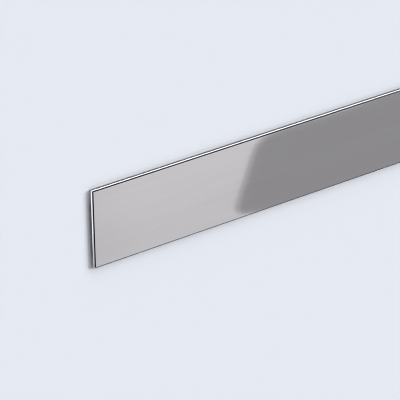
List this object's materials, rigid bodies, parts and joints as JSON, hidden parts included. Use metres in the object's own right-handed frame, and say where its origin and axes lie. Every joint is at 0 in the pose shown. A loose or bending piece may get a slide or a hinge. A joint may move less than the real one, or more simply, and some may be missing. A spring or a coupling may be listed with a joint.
{
  "type": "tile edge trim",
  "caption": "Flat polished stainless steel trim strip with rounded edges all round, glued by its flat back over a tile joint or a tile edge.",
  "frame": {"origin": "centre of the flat back, which is the face that is glued down", "axes": "+X along the strip, +Y across it, +Z out of the polished face"},
  "size_m": [1, 0.03, 0.0015],
  "materials": {
    "polished_steel": "polished"
  },
  "bodies": {
    "root": {"trim_strip": "polished_steel"}
  },
  "joints": []
}
